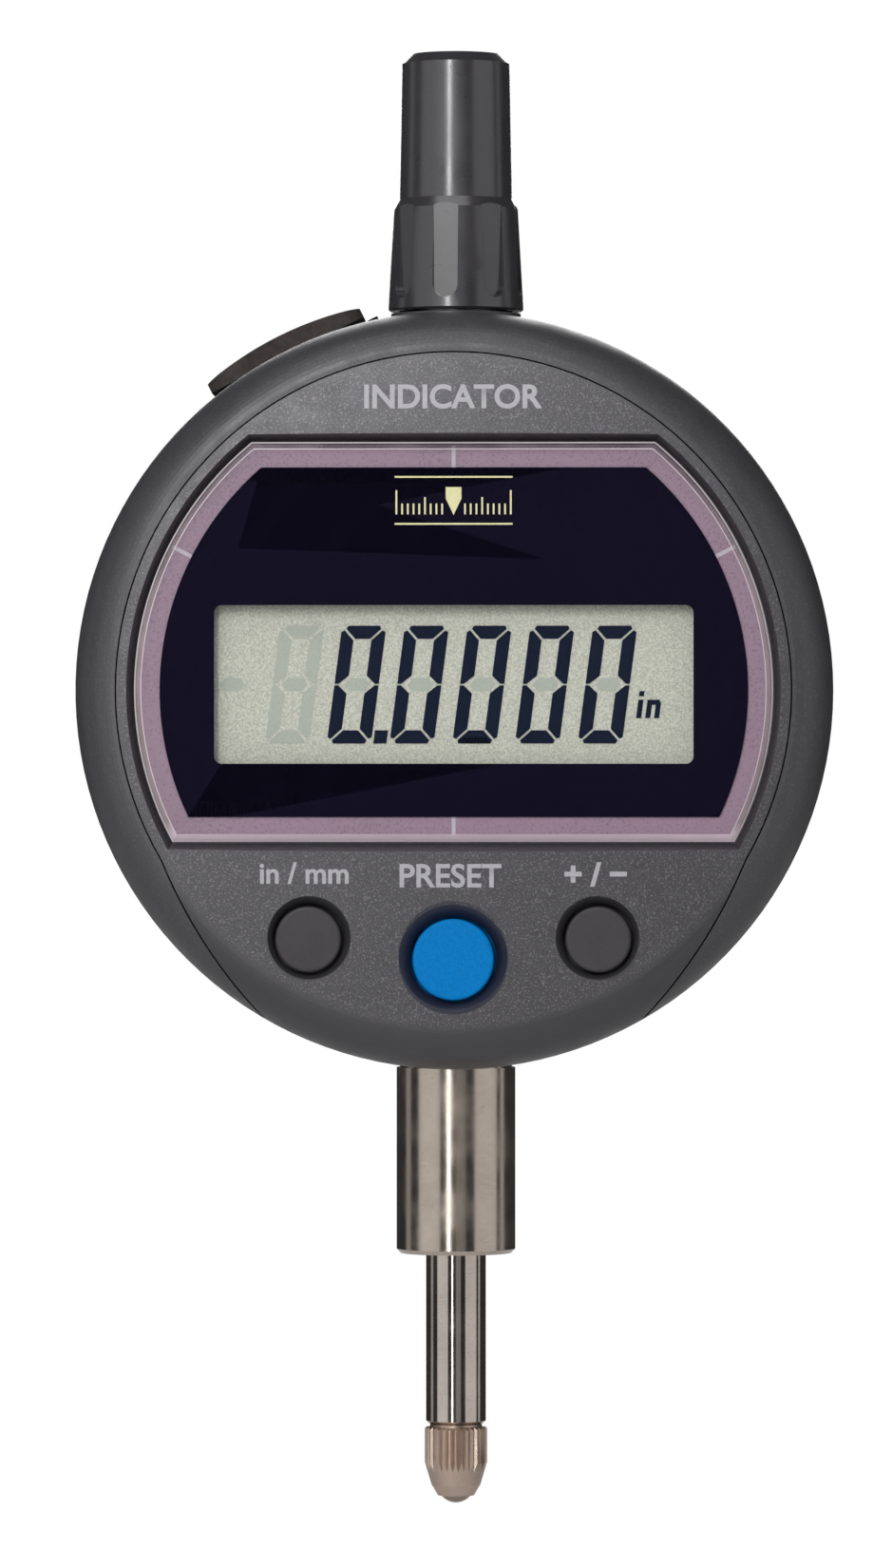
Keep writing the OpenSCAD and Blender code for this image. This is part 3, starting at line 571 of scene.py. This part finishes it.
def lettering(name, words, width, centre, thicken):
    """Pale words laid on the panel, scaled to a width and centred, both in millimetres."""
    lift = 0.012 * MM
    text = bpy.data.curves.new(name, "FONT")
    text.body = words
    text.size = 1.0
    text.offset = thicken
    text.resolution_u = 6
    holder = bpy.data.objects.new(name + "_text", text)
    bpy.context.scene.collection.objects.link(holder)
    bpy.context.view_layer.update()
    graph = bpy.context.evaluated_depsgraph_get()
    mesh = bpy.data.meshes.new_from_object(holder.evaluated_get(graph))
    mesh.name = name
    bpy.data.objects.remove(holder)
    xs = [v.co.x for v in mesh.vertices]
    ys = [v.co.y for v in mesh.vertices]
    scale = width / (max(xs) - min(xs))
    for v in mesh.vertices:
        x = (v.co.x - (min(xs) + max(xs)) / 2) * scale + centre[0]
        z = (v.co.y - (min(ys) + max(ys)) / 2) * scale + centre[1]
        v.co = at_face(x, z, panel_y(x, z) - lift)
    mesh.materials.clear()
    add_object(name, mesh, [PRINT], "case")


def box_outline(x0, z0, x1, z1):
    return [(x0, z0), (x1, z0), (x1, z1), (x0, z1)]


def build_scale_mark():
    """A small yellow tick scale between two lines, printed behind the window."""
    lift = 0.03 * MM
    thick = 0.02 * MM
    half, low, high = 4.65, 13.1, 16.8
    line = 0.14
    tick_foot = low + 0.75
    long_tick, half_tick, short_tick = 1.9, 1.35, 0.85
    ticks = 20
    pointer_w = 0.62
    pointer_tip, pointer_shoulder, pointer_top = low + 0.7, low + 2.0, high - 0.8
    shapes = [box_outline(-half, z - line / 2, half, z + line / 2) for z in (low, high)]
    for i in range(ticks + 1):
        x = -half + line + (2 * half - 2 * line) * i / ticks
        tall = long_tick if i % 10 == 0 else half_tick if i % 5 == 0 else short_tick
        beside_pointer = abs(i - ticks / 2) > 1.5
        if beside_pointer:
            shapes.append(box_outline(x - line / 2, tick_foot, x + line / 2, tick_foot + tall))
    shapes.append([(0, pointer_tip), (pointer_w, pointer_shoulder), (pointer_w, pointer_top),
                   (-pointer_w, pointer_top), (-pointer_w, pointer_shoulder)])
    points, faces = slab(shapes, MASK_FRONT_Y - lift, thick)
    mesh = mesh_of("scale_mark", points, faces)
    outward(mesh)
    add_object("scale_mark", mesh, [YELLOW], "case")


# The display's unlit strokes, which show faintly beside the lit ones.

SEGMENTS_Y = low_high("lcd_segments", 1)[1]
DIGIT_LOW, DIGIT_HIGH = low_high("lcd_segments", 2)
DIGIT_H = (DIGIT_HIGH - DIGIT_LOW) / MM
FIRST_DIGIT_X = low_high("lcd_segments", 0)[0] / MM
DIGIT_BASE = (DIGIT_LOW - CENTRE_Z) / MM
DIGIT_W = DIGIT_H * 0.376
DIGIT_PITCH = DIGIT_H * 0.533
STROKE = DIGIT_H * 0.112
STROKE_GAP = 0.12
LIT_DIGITS = 5
SLANT = math.tan(math.radians(7.5))


def strokes(column, which):
    """Outlines of some of a digit's seven strokes, with the digit's place counted in columns."""
    w, h, s, g = DIGIT_W, DIGIT_H, STROKE, STROKE_GAP
    cut = s * 0.48
    waist = h / 2 - g / 2
    shoulder = waist - s * 0.62
    tip, end = s * 0.7, s * 1.1
    flat = [(cut, 0), (w - cut, 0), (w - cut / 2 - g, cut / 2),
            (w - s - g, s), (s + g, s), (cut / 2 + g, cut / 2)]
    side = [(0, cut), (cut / 2, cut / 2 + g), (s, s + g), (s, shoulder), (s * 0.3, waist), (0, waist)]
    middle_bar = [(tip, h / 2), (end, h / 2 - s / 2), (w - end, h / 2 - s / 2),
                  (w - tip, h / 2), (w - end, h / 2 + s / 2), (end, h / 2 + s / 2)]
    right = [(w - x, y) for x, y in side]
    up = [[(x, h - y) for x, y in shape] for shape in (flat, side, right)]
    shapes = {"bottom": flat, "low_left": side, "low_right": right, "middle": middle_bar,
              "top": up[0], "high_left": up[1], "high_right": up[2]}
    x0 = FIRST_DIGIT_X + column * DIGIT_PITCH
    return [[(x0 + x + y * SLANT, DIGIT_BASE + y) for x, y in shapes[name]] for name in which]


ZERO = ("top", "bottom", "low_left", "low_right", "high_left", "high_right")


def build_unlit_strokes():
    shapes = strokes(-1, ZERO + ("middle",)) + strokes(-2, ("middle",))
    for column in range(LIT_DIGITS):
        shapes += strokes(column, ("middle",))
    behind_lit = 0.02 * MM
    thick = 0.015 * MM
    points, faces = slab(shapes, SEGMENTS_Y - behind_lit, thick)
    mesh = mesh_of("unlit_strokes", points, faces)
    outward(mesh)
    add_object("unlit_strokes", mesh, [GHOST], "case")


# The return spring: one wire, with an eye round each post.


def tube(path, radius):
    """A round wire along a path, with closed ends."""
    sides = 10
    oblique = Vector((0.31, 0.91, 0.17))
    points, faces = [], []
    for i, place in enumerate(path):
        ahead = path[min(i + 1, len(path) - 1)]
        behind = path[max(i - 1, 0)]
        along = (ahead - behind).normalized()
        across = along.cross(oblique).normalized()
        over = along.cross(across)
        for k in range(sides):
            a = 2 * math.pi * k / sides
            points.append(place + radius * (math.cos(a) * across + math.sin(a) * over))
    for i in range(len(path) - 1):
        for k in range(sides):
            j = (k + 1) % sides
            faces.append([i * sides + k, i * sides + j, (i + 1) * sides + j, (i + 1) * sides + k])
    faces.append(list(reversed(range(sides))))
    faces.append([(len(path) - 1) * sides + k for k in range(sides)])
    return points, faces


def build_spring():
    low, high = low_high("return_spring", 2)
    x = middle("return_spring", 0)
    y = middle("return_spring", 1)
    coil_r = 1.5 * MM
    eye_r = 1.2 * MM
    wire_r = 0.2 * MM
    turns = 15
    turn_steps = 28
    eye_steps = 24
    eye_sweep = 330
    lead = 0.6
    eye_low = low + eye_r + wire_r
    eye_high = high - eye_r - wire_r
    start = eye_low + eye_r
    end = eye_high - eye_r
    path = []

    def add_eye(height, first_angle):
        for i in range(eye_steps + 1):
            a = math.radians(first_angle + eye_sweep * i / eye_steps)
            path.append(Vector((x + eye_r * math.sin(a), y, height + eye_r * math.cos(a))))

    add_eye(eye_low, 30)
    steps = turns * turn_steps
    for i in range(1, steps):
        turn = turns * i / steps
        grow = min(1.0, turn / lead, (turns - turn) / lead)
        a = 2 * math.pi * turn
        path.append(Vector((x + coil_r * grow * math.cos(a), y + coil_r * grow * math.sin(a),
                            start + (end - start) * i / steps)))
    add_eye(eye_high, 180)
    points, faces = tube(path, wire_r)
    mesh = mesh_of("spring_wire", points, faces)
    for face in mesh.polygons:
        face.use_smooth = True
    outward(mesh)
    piece = bpy.data.objects.new("spring_wire", mesh)
    bpy.context.scene.collection.objects.link(piece)
    mesh.materials.append(SPRING)
    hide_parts("return_spring")
    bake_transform(piece)


build_window()
build_cell_seams()
lettering("wordmark", "INDICATOR", width=14.0, centre=(0, 23.05), thicken=0.026)
lettering("unit_label", "in / mm", width=7.0, centre=(-11.7, -14.4), thicken=0.022)
lettering("preset_label", "PRESET", width=8.0, centre=(-0.2, -14.6), thicken=0.02)
lettering("sign_label", "+ / \u2212", width=4.9, centre=(11.2, -14.5), thicken=0.035)
build_scale_mark()
build_unlit_strokes()
build_spring()


# ---- Floor, light and camera ----


def floor_sheet(name, half, floor_z):
    """A pale sheet under the object, with its rim turned down out of sight."""
    steps = 12
    rim = 0.05
    points, faces = [], []
    for i in range(steps + 1):
        for j in range(steps + 1):
            x = -half + 2 * half * i / steps
            y = -half + 2 * half * j / steps
            on_rim = i in (0, steps) or j in (0, steps)
            points.append((x, y, floor_z - rim if on_rim else floor_z))
    for i in range(steps):
        for j in range(steps):
            a = i * (steps + 1) + j
            faces.append((a, a + steps + 1, a + steps + 2, a + 1))
    piece = bpy.data.objects.new(name, mesh_of(name, points, faces))
    bpy.context.scene.collection.objects.link(piece)
    look = Look("floor_paper", srgb(250, 250, 250), 0.9)
    look.rough(look.spread(look.noise(20 * MM), 0.85, 0.95))
    piece.data.materials.append(look.material)
    piece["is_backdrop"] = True


def studio_light(name, azimuth, elevation, distance, size, power):
    """An area light aimed at the case: azimuth 0 is in front and 90 is to the right."""
    data = bpy.data.lights.new(name, "AREA")
    data.shape = "RECTANGLE"
    data.size, data.size_y = size
    data.energy = power
    a, e = math.radians(azimuth), math.radians(elevation)
    centre = Vector((0, 0, CENTRE_Z))
    way = Vector((math.sin(a) * math.cos(e), -math.cos(a) * math.cos(e), math.sin(e)))
    lamp = bpy.data.objects.new(name, data)
    lamp.location = centre + distance * way
    lamp.rotation_euler = (centre - lamp.location).to_track_quat("-Z", "Y").to_euler()
    lamp.visible_camera = False
    bpy.context.scene.collection.objects.link(lamp)


def set_world(strength):
    """A world that is white behind the object but only as bright as strength in its reflections."""
    world = bpy.data.worlds.new("studio")
    world.use_nodes = True
    tree = world.node_tree
    shade = tree.nodes["Background"]
    shade.inputs["Color"].default_value = (1, 1, 1, 1)
    path = tree.nodes.new("ShaderNodeLightPath")
    level = tree.nodes.new("ShaderNodeMapRange")
    level.inputs["To Min"].default_value = strength
    level.inputs["To Max"].default_value = 1.0
    tree.links.new(path.outputs["Is Camera Ray"], level.inputs["Value"])
    tree.links.new(level.outputs["Result"], shade.inputs["Strength"])
    bpy.context.scene.world = world


def set_camera():
    """A long lens before the object, level and a little to the right of it."""
    data = bpy.data.cameras.new("camera")
    data.lens = 186
    data.sensor_width = 36
    camera = bpy.data.objects.new("camera", data)
    distance = 650 * MM
    to_right = 10.5 * MM
    aim_x = -0.8 * MM
    height = CENTRE_Z - 7.4 * MM
    camera.location = (to_right, -distance, height)
    aim = Vector((aim_x, 0, height)) - camera.location
    camera.rotation_euler = aim.to_track_quat("-Z", "Y").to_euler()
    bpy.context.scene.collection.objects.link(camera)
    bpy.context.scene.camera = camera


FLOOR_DROP = 120 * MM
floor_sheet("floor", 0.8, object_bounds()[0][2] - FLOOR_DROP)
set_world(0.04)
studio_light("left_box", -53, 2, 0.65, (0.55, 0.8), 1.0)
studio_light("right_box", 62, 2, 0.65, (0.6, 0.8), 1.0)
studio_light("left_rim", -105, 2, 0.65, (0.16, 0.7), 0.13)
studio_light("right_rim", 102, 2, 0.65, (0.12, 0.7), 0.13)
studio_light("cap_streak", -13, 15, 0.75, (0.065, 0.2), 1.0)
studio_light("stem_streak", -13, -5, 0.75, (0.03, 0.25), 0.3)
studio_light("front_fill", 10, 2, 0.9, (0.3, 0.6), 0.14)
studio_light("front_key", -14, 29, 0.36, (0.22, 0.1), 0.46)
studio_light("top_key", -14, 62, 0.5, (0.4, 0.25), 0.6)
studio_light("rear_fill", 180, 25, 0.9, (0.4, 0.6), 3.0)
set_camera()
bpy.context.scene.view_settings.view_transform = "Standard"
